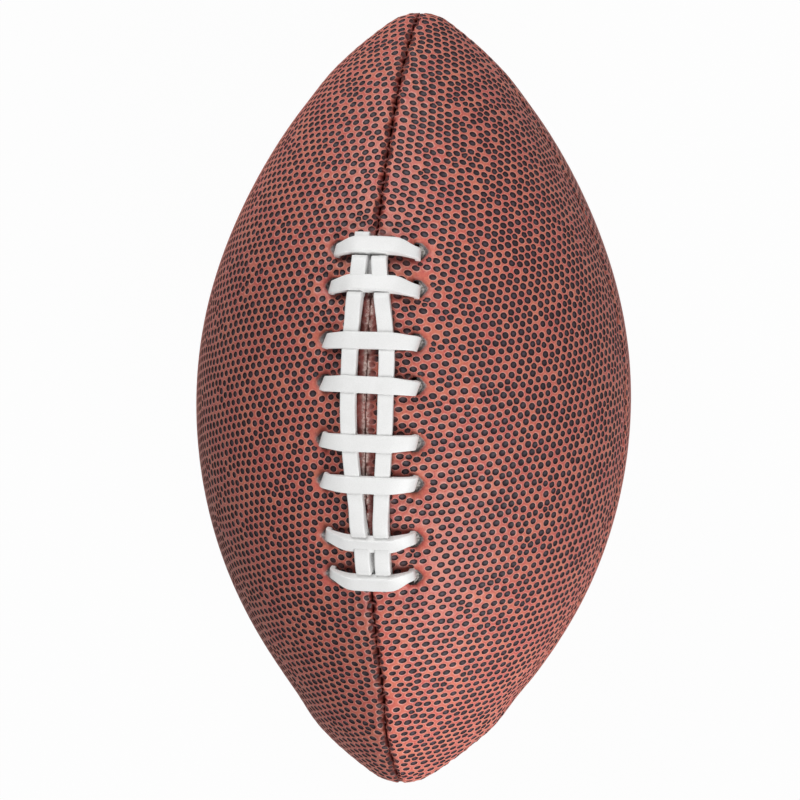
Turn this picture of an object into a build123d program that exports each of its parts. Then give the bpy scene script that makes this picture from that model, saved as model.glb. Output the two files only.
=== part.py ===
from build123d import *
import math
import os

# Outer form of the blown-up ball, in millimetres. The long axis is X and the lacing faces +Z.
ball_length = 274.0
ball_diameter = 154.0
nose_radius = 17.0

# Cover: four pebbled panels with their edges turned in at the seams, and a fabric lining behind each.
panel_thickness = 2.0
seam_gap = 0.8
seam_round = 2.0
flange_thickness = 1.4
flange_depth = 5.0
lining_thickness = 0.8
bond_gap = 0.1

# Seam thread, a running stitch through the turned-in edges, just under the valley between the panels.
thread_diameter = 0.8
thread_sides = 6
thread_clearance = 0.1
stitch_pitch = 4.5
stitch_drop = 0.3
stitch_end_margin = 6.0

# Lacing: cross bars in pairs over two long runs, through slots punched in the two lacing panels.
lace_width = 6.0
lace_thickness = 2.0
lace_bend = 2.2
lace_crown_bend = 18.0
lace_hole_mid_reach = 16.4
lace_hole_end_reach = 14.2
lace_hole_clearance = 0.25
lace_gap = 0.3
pair_count = 4
pair_pitch = 34.4
pair_spacing = 14.6
lace_tail = 7.0
long_lace_width = 5.2
long_lace_mid_reach = 7.1
long_lace_end_reach = 3.6
long_lace_dive = 1.2
opening_margin = 5.0

# Behind the lacing: a strip that backs each row of slots, and a tongue that guards the bladder.
facing_thickness = 1.2
facing_reach = 22.0
tongue_thickness = 1.0
tongue_reach = 20.0

# Bladder and valve. The valve comes out through the middle of the right back panel.
bladder_thickness = 0.8
fit_clearance = 0.3
valve_angle = 135.0
valve_stem_radius = 4.0
valve_flange_radius = 10.0
valve_flange_thickness = 1.2
valve_sleeve_radius = 3.4
valve_length = 20.0
valve_recess = 0.3
valve_facing_radius = 12.0
valve_facing_thickness = 0.8
core_radius = 2.2
core_clearance = 0.05
core_length = 16.0
needle_radius = 1.05
needle_depth = 12.0

# Cuts run past what they cut by this much.
overrun = 1.0

# The meridian is one long arc for the body and a nose arc at each tip, tangent to it.
half_length = ball_length / 2
belly_radius = ball_diameter / 2
nose_centre = half_length - nose_radius
body_radius = (nose_centre**2 + belly_radius**2 - nose_radius**2) / (2 * (belly_radius - nose_radius))
body_centre = belly_radius - body_radius
join_angle = math.atan2(nose_centre, -body_centre)

# Layers from the outside in, as depths below the outer surface.
thread_radius = thread_diameter / 2
stitch_depth = panel_thickness + thread_radius + stitch_drop
lining_top = panel_thickness + bond_gap
lining_bottom = lining_top + lining_thickness
facing_top = lining_bottom + bond_gap
facing_bottom = facing_top + facing_thickness
inner_lace_depth = facing_bottom + lace_gap + lace_thickness / 2
tongue_top = inner_lace_depth + lace_thickness / 2 + lace_gap
tongue_bottom = tongue_top + tongue_thickness
bladder_depth = lining_bottom + fit_clearance
flange_bottom = panel_thickness + flange_depth

# Distances from a seam's middle plane.
panel_edge = seam_gap / 2
thread_side = panel_edge + flange_thickness + thread_clearance + thread_radius
seam_half_width = thread_side + thread_radius + fit_clearance

# Places along the lacing.
pair_middles = [(k - (pair_count - 1) / 2) * pair_pitch for k in range(pair_count)]
bar_places = [m + side * pair_spacing / 2 for m in reversed(pair_middles) for side in (1, -1)]
long_lace_end = bar_places[0] + long_lace_dive
long_lace_span = long_lace_end + lace_thickness / 2
long_lace_bow = long_lace_mid_reach - long_lace_end_reach
long_lace_bow_radius = (long_lace_span**2 + long_lace_bow**2) / (2 * long_lace_bow)
opening_half = bar_places[0] + lace_width / 2 + opening_margin
backing_half = opening_half - fit_clearance
quarter_turn = 90

# Depths along the valve. Its flat flange sits under the rim of the curved patch behind the lining.
valve_facing_bottom = lining_bottom + bond_gap + valve_facing_thickness
patch_curve = belly_radius - valve_facing_bottom
valve_flange_top = belly_radius - math.sqrt(patch_curve**2 - valve_flange_radius**2) + bond_gap
valve_flange_bottom = valve_flange_top + valve_flange_thickness
valve_pocket_bottom = valve_flange_bottom + bond_gap


def on_body(angle, depth):
    """Point of the body arc, by its angle from the belly, at a depth below the outer surface."""
    reach = body_radius - depth
    return Vector(reach * math.sin(angle), 0, body_centre + reach * math.cos(angle))


def on_nose(angle, depth):
    """Point of the nose arc at the +X tip, by the same angle."""
    reach = nose_radius - depth
    return Vector(nose_centre + reach * math.sin(angle), 0, reach * math.cos(angle))


def flipped(point):
    """The same point at the other end, or on the other side, of the middle."""
    return Vector(-point.X, point.Y, point.Z)


def meridian(depth):
    """The profile from tip to tip at a depth below the outer surface, as three arcs in the XZ plane."""
    join = on_body(join_angle, depth)
    nose_middle = on_nose((join_angle + math.pi / 2) / 2, depth)
    tip = on_nose(math.pi / 2, depth)
    front = ThreePointArc(tip, nose_middle, join)
    body = ThreePointArc(join, on_body(0, depth), flipped(join))
    rear = ThreePointArc(flipped(join), flipped(nose_middle), flipped(tip))
    return front, body, rear


def layer_face(depth_outer, depth_inner):
    """Half section of a layer of the cover between two depths."""
    outer = meridian(depth_outer)
    inner = meridian(depth_inner)
    ends = [Line(outer[0] @ 0, inner[0] @ 0), Line(outer[2] @ 1, inner[2] @ 1)]
    return make_face([*outer, *inner, *ends])


def belt(depth_outer, depth_inner, half_span, reach_from, reach_to):
    """Part of a layer: half_span each way along X, and from one reach to another round the ball."""
    turns = [math.asin(half_span / body_radius), math.asin(-half_span / body_radius)]
    outer = [on_body(turn, depth_outer) for turn in turns]
    inner = [on_body(turn, depth_inner) for turn in turns]
    over = ThreePointArc(outer[0], on_body(0, depth_outer), outer[1])
    under = ThreePointArc(inner[0], on_body(0, depth_inner), inner[1])
    face = make_face([over, under, Line(outer[0], inner[0]), Line(outer[1], inner[1])])
    start = math.degrees(reach_from / belly_radius)
    sweep_angle = math.degrees((reach_to - reach_from) / belly_radius)
    return Rot(start, 0, 0) * revolve(face, Axis.X, sweep_angle)


def quarter_room(edge):
    """The quarter right of the lacing seam, standing back from both of its seam planes."""
    room = Box(2 * ball_length, ball_length, ball_length, align=(Align.CENTER, Align.MAX, Align.MIN))
    return Pos(0, -edge, edge) * room


def quarter_shell(depth_outer, depth_inner):
    """A quarter of one layer, right of the lacing seam."""
    return revolve(layer_face(depth_outer, depth_inner), Axis.X, quarter_turn)


def plain_panel():
    """A panel with its edges turned in along both seams and rounded where they turn."""
    flange_face = layer_face(panel_thickness / 2, flange_bottom)
    flange = extrude(flange_face, amount=panel_edge + flange_thickness, dir=(0, -1, 0))
    twin = mirror(flange, about=Plane(origin=(0, 0, 0), z_dir=(0, 1, 1)))
    panel = (quarter_shell(0, panel_thickness) + flange + twin) & quarter_room(panel_edge)
    return fillet(outer_seam_edges(panel), seam_round)


def stitch_angles(nearest):
    """Angles of the stitches at one end of a seam, from a distance off the belly to near the tip."""
    reach = body_radius - stitch_depth
    step = stitch_pitch / reach
    first = math.ceil(math.asin(nearest / reach) / step)
    last = math.floor((join_angle - stitch_end_margin / reach) / step)
    return [(k + 1 / 2) * step for k in range(first, last)]


def stitch_holes():
    """Thread holes of one whole seam."""
    angles = stitch_angles(0)
    drill = Cylinder(thread_radius + thread_clearance, 2 * seam_half_width)
    drill = Rot(quarter_turn, 0, 0) * drill
    places = [on_body(angle * side, stitch_depth) for angle in angles for side in (1, -1)]
    return [Pos(place) * drill for place in places]


def thread_strand(angles):
    """A running stitch that crosses the seam at each angle."""
    points = []
    for count, angle in enumerate(angles):
        side = thread_side if count % 2 == 0 else -thread_side
        place = on_body(angle, stitch_depth)
        points += [place + Vector(0, side, 0), place - Vector(0, side, 0)]
    path = Polyline(*points)
    section = Plane(path @ 0, z_dir=path % 0) * RegularPolygon(thread_radius, thread_sides)
    return sweep(section, path=path, transition=Transition.RIGHT)


def below_surface(point):
    """Depth of a point below the outer surface."""
    off_axis = math.hypot(point.Y, point.Z)
    along = abs(point.X)
    if math.atan2(along, off_axis - body_centre) < join_angle:
        return body_radius - math.hypot(along, off_axis - body_centre)
    return nose_radius - math.hypot(along - nose_centre, off_axis)


def outer_seam_edges(panel):
    """Edges where a panel's face turns down into its two seams."""
    chosen = []
    for edge in panel.edges():
        points = [edge @ share for share in (0, 0.5, 1)]
        beside_lacing = all(abs(p.Y + panel_edge) < bond_gap for p in points)
        beside_side = all(abs(p.Z - panel_edge) < bond_gap for p in points)
        on_face = all(abs(below_surface(p)) < bond_gap for p in points)
        if on_face and (beside_lacing or beside_side):
            chosen.append(edge)
    return chosen


def lacing_slit():
    """Room along the lacing where the panels' edges aren't turned in."""
    return belt(panel_thickness, flange_bottom + overrun, opening_half, -seam_half_width, seam_half_width)


def across(place):
    """Plane across the lacing, square to the cover: its X runs to the left and its Y outwards."""
    lean = math.asin(place / body_radius)
    return Plane(on_body(lean, 0), x_dir=(0, 1, 0), z_dir=(math.cos(lean), 0, -math.sin(lean)))


def across_radius(place):
    """Radius of the cover in that plane."""
    lean = math.asin(place / body_radius)
    return body_radius + body_centre / math.cos(lean)


def in_section(place, reach, depth):
    """Point of that plane, as its own X and Y, by reach from the seam and depth below the cover."""
    radius = across_radius(place)
    turn = reach / radius
    return Vector((radius - depth) * math.sin(turn), (radius - depth) * math.cos(turn) - radius)


def lace_hole(place, reach, width, thickness):
    """Slot for a lace that goes square through the cover and its backing."""
    depth = facing_bottom + overrun
    turn = math.degrees(reach / across_radius(place))
    tool = Box(thickness, depth + panel_thickness, width, align=(Align.CENTER, Align.MAX, Align.CENTER))
    spot = across(place) * Pos(in_section(place, reach, 0)) * Rot(0, 0, -turn)
    return spot * Pos(0, panel_thickness, 0) * tool


def hole_reach(place):
    """Distance of a bar's slots from the seam, less towards the ends of the lacing."""
    narrowing = lace_hole_mid_reach - lace_hole_end_reach
    return lace_hole_mid_reach - narrowing * (place / bar_places[0]) ** 2


def long_reach(place):
    """Distance of a long run's middle line from the seam, on its bow."""
    return long_lace_mid_reach - long_lace_bow_radius + math.sqrt(long_lace_bow_radius**2 - place**2)


def lacing_holes():
    """Slots of both rows, and the two end slots where the long runs go in."""
    width = lace_width + 2 * lace_hole_clearance
    thickness = lace_thickness + 2 * lace_hole_clearance
    holes = [
        lace_hole(place, side * hole_reach(place), width, thickness)
        for place in bar_places
        for side in (1, -1)
    ]
    end_width = 2 * long_lace_end_reach + long_lace_width + 2 * lace_hole_clearance
    holes += [lace_hole(side * long_lace_end, 0, thickness, end_width) for side in (1, -1)]
    return holes


def strip(path, across_dir, width):
    """A flat lace along a path, with its width along a direction."""
    start = Plane(path @ 0, x_dir=across_dir, z_dir=path % 0)
    return sweep(start * Rectangle(width, lace_thickness), path=path)


def cross_bar(place):
    """One cross bar: up through a slot, over the long runs and down through the other slot."""
    plane = across(place)
    long_top = lace_gap + lace_thickness
    crown = long_top + lace_gap + lace_thickness
    crown_reach = long_reach(place) + long_lace_width / 2
    rise = lace_thickness / 2 + lace_gap
    half = [
        in_section(place, hole_reach(place), inner_lace_depth + lace_thickness / 2),
        in_section(place, hole_reach(place), -rise),
        Vector(crown_reach, crown),
    ]
    points = half + [flipped(point) for point in reversed(half)]
    radii = [lace_bend, lace_crown_bend, lace_crown_bend, lace_bend]
    path = FilletPolyline(*[plane.from_local_coords(point) for point in points], radius=radii)
    return strip(path, plane.z_dir, lace_width)


def inner_point(place, reach):
    """Point of a lace's middle line behind the facing."""
    return across(place).from_local_coords(in_section(place, reach, inner_lace_depth))


def inner_run(start_place, start_reach, end_place, end_reach):
    """A stretch of lace behind the facing, between two slots or from a slot to a loose end."""
    ends = [inner_point(start_place, start_reach), inner_point(end_place, end_reach)]
    middle = inner_point((start_place + end_place) / 2, (start_reach + end_reach) / 2)
    path = ThreePointArc(ends[0], middle, ends[1])
    across_dir = (middle - ends[0]).cross(ends[1] - ends[0])
    return strip(path, across_dir, lace_width)


def cross_lace():
    """All the cross bars as one lace, which slants back behind the facing from each bar to the next."""
    spans = [cross_bar(place) for place in bar_places]
    for place, following in zip(bar_places, bar_places[1:]):
        spans.append(inner_run(place, -hole_reach(place), following, hole_reach(following)))
    tail_reach = lace_hole_end_reach - lace_tail
    spans.append(inner_run(bar_places[0], lace_hole_end_reach, bar_places[0], tail_reach))
    spans.append(inner_run(bar_places[-1], -lace_hole_end_reach, bar_places[-1], -tail_reach))
    return spans[0].fuse(*spans[1:])


def long_run(side):
    """One of the two runs along the seam, bowed outwards and lying on the cover."""
    spread = math.asin(long_lace_span / long_lace_bow_radius)
    centre = long_lace_mid_reach - long_lace_bow_radius
    arcs = []
    for edge in (-1, 1):
        radius = long_lace_bow_radius + edge * long_lace_width / 2
        end = Vector(radius * math.sin(spread), centre + radius * math.cos(spread))
        arcs.append(ThreePointArc(end, (0, centre + radius), flipped(end)))
    ends = [Line(arcs[0] @ share, arcs[1] @ share) for share in (0, 1)]
    plan = extrude(make_face([*arcs, *ends]), amount=ball_diameter)
    plan = plan if side > 0 else mirror(plan, about=Plane.XZ)
    width = long_lace_mid_reach + long_lace_width
    return plan & belt(-lace_gap - lace_thickness, -lace_gap, long_lace_span, -width, width)


def long_leg(end, side):
    """The end of a long run, folded down through the end slot."""
    bottom = inner_lace_depth + lace_thickness / 2
    leg = Box(
        long_lace_width,
        bottom + lace_gap + lace_thickness / 2,
        lace_thickness,
        align=(Align.CENTER, Align.MIN, Align.CENTER),
    )
    return across(end * long_lace_end) * Pos(side * long_lace_end_reach, -bottom, 0) * leg


def long_lace():
    """The two long runs as one lace, joined behind the front end slot."""
    runs = [long_run(side) for side in (1, -1)]
    legs = [long_leg(end, side) for end in (1, -1) for side in (1, -1)]
    link = Box(2 * long_lace_end_reach, lace_thickness, lace_thickness)
    link = across(long_lace_end) * Pos(0, -inner_lace_depth, 0) * link
    return runs[0].fuse(runs[1], *legs, link)


def lace_facing(side):
    """Strip behind one row of slots."""
    reaches = (-facing_reach, -seam_half_width) if side > 0 else (seam_half_width, facing_reach)
    return belt(facing_top, facing_bottom, backing_half, *reaches)


def seam_channel(inset):
    """Room in the bladder for the turned-in edges of two opposite seams."""
    half = layer_face(bladder_depth - overrun, flange_bottom + fit_clearance + inset)
    ring = half + mirror(half, about=Plane.XY)
    return extrude(ring, amount=seam_half_width + inset, dir=(0, 1, 0), both=True)


def valve_cylinder(radius, top, bottom):
    """Cylinder on the valve's axis between two depths."""
    body = Cylinder(radius, bottom - top, align=(Align.CENTER, Align.CENTER, Align.MAX))
    return Rot(valve_angle, 0, 0) * Pos(0, 0, belly_radius - top) * body


def bladder_form(inset):
    """The blown-up bladder, drawn in by inset all over."""
    profile = meridian(bladder_depth + inset)
    axis_line = Line(profile[2] @ 1, profile[0] @ 0)
    form = revolve(make_face([*profile, axis_line]), Axis.X, 4 * quarter_turn)
    channel = seam_channel(inset)
    reach = facing_reach + fit_clearance + inset
    floor = tongue_bottom + fit_clearance + inset
    pocket = belt(bladder_depth - overrun, floor, opening_half + inset, -reach, reach)
    pocket_radius = valve_facing_radius + fit_clearance + inset
    valve_pocket = valve_cylinder(pocket_radius, 0, valve_pocket_bottom + inset)
    return form - [channel, Rot(quarter_turn, 0, 0) * channel, pocket, valve_pocket]


def bladder():
    """The hollow bladder, with a hole for the valve's sleeve."""
    hole = valve_cylinder(valve_sleeve_radius + core_clearance, 0, valve_length)
    return bladder_form(0) - bladder_form(bladder_thickness) - hole


def valve_housing():
    """Moulded rubber: a stem through the cover, a flange on the bladder and a sleeve inside it."""
    stem = valve_cylinder(valve_stem_radius, valve_recess, valve_flange_bottom)
    flange = valve_cylinder(valve_flange_radius, valve_flange_top, valve_flange_bottom)
    sleeve = valve_cylinder(valve_sleeve_radius, valve_flange_top, valve_length)
    bore = valve_cylinder(core_radius + core_clearance, 0, valve_recess + core_length)
    return stem + flange + sleeve - bore


def valve_core():
    """Plug with the channel for an inflating needle."""
    plug = valve_cylinder(core_radius, valve_recess, valve_recess + core_length)
    return plug - valve_cylinder(needle_radius, 0, valve_recess + needle_depth)


def valve_facing():
    """Round patch behind the lining at the valve."""
    disc = valve_cylinder(valve_facing_radius, 0, valve_length)
    layer = quarter_shell(lining_bottom + bond_gap, valve_facing_bottom)
    patch = disc & (Rot(quarter_turn, 0, 0) * layer)
    return patch - valve_hole()


def valve_hole():
    """Round hole for the valve's stem."""
    return valve_cylinder(valve_stem_radius + fit_clearance, -overrun, valve_length)


def cover():
    """The four panels and their linings, in quarter turns from the one right of the lacing."""
    holes = stitch_holes()
    seam_holes = holes + [Rot(quarter_turn, 0, 0) * hole for hole in holes]
    panel = plain_panel() - seam_holes
    lining = quarter_shell(lining_top, lining_bottom) & quarter_room(seam_half_width)
    slit = lacing_slit()
    lace_cuts = lacing_holes()
    pieces = {}
    for turn, name in enumerate(["lace_right", "back_right", "back_left", "lace_left"]):
        turned = Rot(turn * quarter_turn, 0, 0)
        for layer, shape in (("panel", panel), ("lining", lining)):
            piece = turned * shape
            if "lace" in name:
                piece = piece - slit - lace_cuts
            if name == "back_right":
                piece = piece - valve_hole()
            pieces[f"{layer}_{name}"] = piece
    return pieces


def threads():
    """A strand along each closed seam, and one at each end of the lacing seam."""
    whole = stitch_angles(0)
    strand = thread_strand([-angle for angle in reversed(whole)] + whole)
    pieces = {}
    for turn, name in ((1, "right"), (2, "back"), (3, "left")):
        pieces[f"seam_thread_{name}"] = Rot(turn * quarter_turn, 0, 0) * strand
    end_angles = stitch_angles(opening_half + stitch_pitch)
    pieces["seam_thread_lace_front"] = thread_strand(end_angles)
    pieces["seam_thread_lace_rear"] = thread_strand([-angle for angle in end_angles])
    return pieces


def football():
    """Every piece of the ball by its name, about the long axis."""
    pieces = {**cover(), **threads()}
    pieces["cross_lace"] = cross_lace()
    pieces["long_lace"] = long_lace()
    lace_cuts = lacing_holes()
    pieces["lace_facing_left"] = lace_facing(1) - lace_cuts
    pieces["lace_facing_right"] = lace_facing(-1) - lace_cuts
    pieces["lace_tongue"] = belt(tongue_top, tongue_bottom, backing_half, -tongue_reach, tongue_reach)
    pieces["bladder"] = bladder()
    pieces["valve_housing"] = valve_housing()
    pieces["valve_core"] = valve_core()
    pieces["valve_facing"] = valve_facing()
    return pieces


os.makedirs("parts", exist_ok=True)
for node, shape in football().items():
    export_step(Pos(0, 0, belly_radius) * shape, f"parts/{node}.step")
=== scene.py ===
import math
import random

import bmesh
import bpy
import numpy as np
from mathutils import Matrix, Vector, geometry


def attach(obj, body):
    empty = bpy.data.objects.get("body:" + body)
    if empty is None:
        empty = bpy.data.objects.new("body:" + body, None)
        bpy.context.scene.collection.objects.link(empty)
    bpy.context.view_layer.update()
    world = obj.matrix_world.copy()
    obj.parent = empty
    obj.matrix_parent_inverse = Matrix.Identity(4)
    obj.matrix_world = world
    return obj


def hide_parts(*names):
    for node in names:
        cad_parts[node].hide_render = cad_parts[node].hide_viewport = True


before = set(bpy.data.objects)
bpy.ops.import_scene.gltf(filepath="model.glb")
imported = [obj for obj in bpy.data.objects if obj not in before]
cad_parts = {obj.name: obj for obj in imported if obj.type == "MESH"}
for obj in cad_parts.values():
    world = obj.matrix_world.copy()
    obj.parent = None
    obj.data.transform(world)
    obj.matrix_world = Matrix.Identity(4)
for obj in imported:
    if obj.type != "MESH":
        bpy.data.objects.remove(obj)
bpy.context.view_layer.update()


# The bladder: a hollow rubber bag, moulded in one piece and blown up inside the cover until it fills it.
# It is butyl rubber, dull and nearly black, with the bloom that talc leaves on it.
def add(tree, kind, settings=(), **inputs):
    """Adds a node. An input, named with _ for a space or by _ and its number, takes a value or an output."""
    made = tree.nodes.new("ShaderNode" + kind)
    for name, value in dict(settings).items():
        setattr(made, name, value)
    for name, value in inputs.items():
        socket = made.inputs[int(name[1:]) if name[1:].isdigit() else name.replace("_", " ")]
        if isinstance(value, bpy.types.NodeSocket):
            tree.links.new(value, socket)
        else:
            socket.default_value = value
    return made


def finish(name, **plain):
    """A material whose Principled shader has these plain values."""
    material = bpy.data.materials.new(name)
    material.use_nodes = True
    shader = material.node_tree.nodes["Principled BSDF"]
    for socket, value in plain.items():
        shader.inputs[socket.replace("_", " ")].default_value = value
    return material


def connect(material, **outputs):
    """Feeds the Principled shader of a material from other nodes."""
    shader = material.node_tree.nodes["Principled BSDF"]
    for socket, output in outputs.items():
        material.node_tree.links.new(output, shader.inputs[socket.replace("_", " ")])


def mix(tree, share, first, second):
    """Blends two colours by a share."""
    return add(tree, "Mix", {"data_type": "RGBA"}, Factor=share, _6=first, _7=second).outputs[2]


def mottle_group():
    """Two sizes of soft cloud on Object coordinates: a tone from 0 to 1, and a height for bump."""
    group = bpy.data.node_groups.new("mottle", "ShaderNodeTree")
    for name in ("Coarse Scale", "Fine Scale"):
        group.interface.new_socket(name, in_out="INPUT", socket_type="NodeSocketFloat")
    for name in ("Tone", "Height"):
        group.interface.new_socket(name, in_out="OUTPUT", socket_type="NodeSocketFloat")
    entry = group.nodes.new("NodeGroupInput")
    outcome = group.nodes.new("NodeGroupOutput")
    place = add(group, "TexCoord").outputs["Object"]
    coarse = add(group, "TexNoise", Vector=place, Scale=entry.outputs["Coarse Scale"], Detail=4.0)
    fine = add(group, "TexNoise", Vector=place, Scale=entry.outputs["Fine Scale"], Detail=2.0)
    both = add(group, "Math", {"operation": "ADD"}, _0=coarse.outputs[0], _1=fine.outputs[0])
    tone = add(group, "MapRange", Value=both.outputs[0], From_Min=0.75, From_Max=1.25)
    group.links.new(tone.outputs[0], outcome.inputs["Tone"])
    group.links.new(fine.outputs[0], outcome.inputs["Height"])
    return group


mottle = mottle_group()


def mottled(tree, coarse, fine):
    """Places the mottle with its two scales, per metre."""
    made = tree.nodes.new("ShaderNodeGroup")
    made.node_tree = mottle
    made.inputs["Coarse Scale"].default_value = coarse
    made.inputs["Fine Scale"].default_value = fine
    return made


def two_tone(name, dark, light, coarse, fine, relief, **plain):
    """A finish that drifts between two colours, with its fine grain as relief."""
    material = finish(name, **plain)
    tree = material.node_tree
    grain = mottled(tree, coarse, fine)
    bump = add(tree, "Bump", Distance=relief, Height=grain.outputs["Height"])
    colour = mix(tree, grain.outputs["Tone"], dark, light)
    connect(material, Base_Color=colour, Normal=bump.outputs[0])
    return material


def dress(material, *nodes):
    """Gives CAD nodes a finish."""
    for name in nodes:
        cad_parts[name].data.materials.clear()
        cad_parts[name].data.materials.append(material)


bladder_rubber = two_tone(
    "bladder rubber", (0.02, 0.02, 0.021, 1), (0.05, 0.05, 0.052, 1), 60, 900, 0.0002, Roughness=0.7
)
dress(bladder_rubber, "bladder")


# The valve: a moulded rubber stem that comes out flush with the cover, with a softer plug for the needle.
# Its flange is bonded to the bladder, and a round patch keeps it from rubbing through the lining.
valve_rubber = two_tone(
    "valve rubber", (0.013, 0.012, 0.012, 1), (0.03, 0.028, 0.028, 1), 300, 2500, 0.00006, Roughness=0.5
)
plug_rubber = two_tone(
    "plug rubber", (0.16, 0.15, 0.14, 1), (0.24, 0.23, 0.21, 1), 400, 3000, 0.00005, Roughness=0.6
)
dress(valve_rubber, "valve_housing", "valve_facing")
dress(plug_rubber, "valve_core")


# The linings: layers of coarse cotton cloth bonded behind each panel, so that the cover can't stretch.
# The weave is plain, in raw cotton, and the bonding rubber leaves it a little yellow.
def woven(name, light, dark, thread, relief):
    """Raw cloth: two sets of threads, over and under each other."""
    material = finish(name, Roughness=0.9)
    tree = material.node_tree
    place = add(tree, "TexCoord").outputs["Object"]
    waves = [
        add(tree, "TexWave", {"bands_direction": axis}, Vector=place, Scale=band_length / thread).outputs[1]
        for axis in ("X", "DIAGONAL")
    ]
    height = add(tree, "Math", {"operation": "MAXIMUM"}, _0=waves[0], _1=waves[1]).outputs[0]
    bump = add(tree, "Bump", Distance=relief, Height=height)
    connect(material, Base_Color=mix(tree, height, dark, light), Normal=bump.outputs[0])
    return material


# The length of a wave texture's band at a scale of 1.
band_length = 0.31
quarters = ("lace_right", "back_right", "back_left", "lace_left")
lining_cloth = woven("lining cloth", (0.42, 0.4, 0.38, 1), (0.2, 0.18, 0.16, 1), 0.0012, 0.0003)
dress(lining_cloth, *[f"lining_{quarter}" for quarter in quarters])


# Behind the lacing: a strip of split hide backs each row of slots.
# A tongue of the same hide keeps the laces off the bladder.
# Both are glued to the lining, and are rough on the flesh side.
split_hide = two_tone(
    "split hide", (0.2, 0.085, 0.05, 1), (0.34, 0.16, 0.1, 1), 90, 1400, 0.0004, Roughness=0.85
)
dress(split_hide, "lace_facing_left", "lace_facing_right", "lace_tongue")


# The cover: four panels of pebbled hide, each a quarter of the ball from tip to tip.
# They are sewn together inside out, and the ball is then turned through the opening at the lacing.
# The pebble is pressed in: small oval dimples, inked dark, in a raised net of salmon-brown hide.
ball_length = 0.274
belly = 0.077
nose_radius = 0.017
seam_round = 0.002
seam_gap = 0.00008
stitch_pitch = 0.0045
hide_thickness = 0.002
lacing_closed = 0.061
lacing_open = 0.067
closed_round_share = 0.35
gap_limit_share = 0.1
round_limit_share = 0.3
quarter = math.pi / 2

nose_centre = ball_length / 2 - nose_radius
body_radius = (nose_centre**2 + belly**2 - nose_radius**2) / (2 * (belly - nose_radius))
body_centre = belly - body_radius
join_angle = math.atan2(nose_centre, -body_centre)
join_reach = body_radius * join_angle
tip_reach = join_reach + nose_radius * (quarter - join_angle)
tip_hole = 0.0007


def meridian(reach):
    """Place along the axis, distance off it and lean of the surface, by arc length from the belly."""
    along = np.abs(reach)
    on_body = along < join_reach
    lean = np.where(on_body, along / body_radius, join_angle + (along - join_reach) / nose_radius)
    place = np.where(on_body, body_radius * np.sin(lean), nose_centre + nose_radius * np.sin(lean))
    off = np.where(on_body, body_centre + body_radius * np.cos(lean), nose_radius * np.cos(lean))
    return np.copysign(place, reach), off, np.copysign(lean, reach)


# A panel is laid out flat on a chart that keeps every small shape true and only changes its scale.
chart_steps = np.linspace(0, tip_reach - tip_hole, 4001)
chart_rate = belly / meridian((chart_steps[1:] + chart_steps[:-1]) / 2)[1]
chart_marks = np.concatenate(([0], np.cumsum(np.diff(chart_steps) * chart_rate)))


def chart_of(reach):
    """Place on the chart, by arc length from the belly."""
    return np.copysign(np.interp(np.abs(reach), chart_steps, chart_marks), reach)


def reach_of(mark):
    """Arc length from the belly, by place on the chart."""
    return np.copysign(np.interp(np.abs(mark), chart_marks, chart_steps), mark)


def smooth_step(value, low, high):
    share = np.clip((value - low) / (high - low), 0, 1)
    return share * share * (3 - 2 * share)


def bell(value, width):
    """Fades from 1 at zero to almost nothing at two widths."""
    return np.exp(-((value / width) ** 2))


def seam_shape(reach, laced):
    """Half gap and shoulder radius of a seam. The lacing draws the edges tight where it closes them."""
    off = meridian(reach)[1]
    open_share = smooth_step(np.abs(reach), lacing_closed, lacing_open) if laced else np.ones_like(off)
    gap = np.minimum(seam_gap * open_share, gap_limit_share * off)
    round_share = closed_round_share + (1 - closed_round_share) * open_share
    shoulder = np.minimum(seam_round * round_share, round_limit_share * off)
    return gap, shoulder, open_share


def panel_border(reach, laced):
    """Turn from the panel's middle to the line where its edge has turned down into the seam."""
    gap, shoulder, _ = seam_shape(reach, laced)
    return quarter / 2 - (gap - shoulder * (quarter - 1)) / meridian(reach)[1]


def loop_edges(first, count):
    return [(first + k, first + (k + 1) % count) for k in range(count)]


def pebble_spots(spacing, pull, laced_side, keep_clear, rng):
    """Middles of the dimples on the chart: slanted, shaken rows, clear of the panel's edges and holes."""
    count = int(grid_share * tip_reach / spacing)
    column, row = np.meshgrid(np.arange(-count, count + 1.0), np.arange(-count, count + 1.0))
    along = (column + row % 2 / 2 + rng.uniform(-shake, shake, row.shape)) * spacing
    aside = (row + rng.uniform(-shake, shake, row.shape)) * spacing * row_step_share
    reach = (along * math.cos(row_slant) - aside * math.sin(row_slant)).ravel() / math.sqrt(pull)
    around = (along * math.sin(row_slant) + aside * math.cos(row_slant)).ravel() * math.sqrt(pull)
    if pull > 1:
        reach = reach - rear_ease * ease_length * np.log(np.cosh(reach / ease_length))
        past = (around - ease_start) / ease_length * 3
        around = around - side_ease * ease_length / 3 * np.log(np.cosh(past))
    on_ball = np.abs(reach) < tip_reach - spacing
    reach = reach[on_ball]
    around = around[on_ball]
    off = meridian(reach)[1]
    turn = around / off
    laced = np.sign(turn) == laced_side
    border = np.where(laced, panel_border(reach, True), panel_border(reach, False))
    clear = np.abs(turn) < border - edge_room_share * spacing / off
    for hole_reach, hole_turn, long_room, side_room in keep_clear:
        clear &= np.hypot((reach - hole_reach) / long_room, (turn - hole_turn) * off / side_room) > 1
    return [*zip(chart_of(reach[clear]), belly * turn[clear])]


grid_share = 1.4
row_step_share = math.sqrt(0.75)
edge_room_share = 0.3
shake = 0.32
row_slant = 0.3
rear_ease = 0.08
side_ease = 0.09
ease_length = 0.045
ease_start = -0.024


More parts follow.
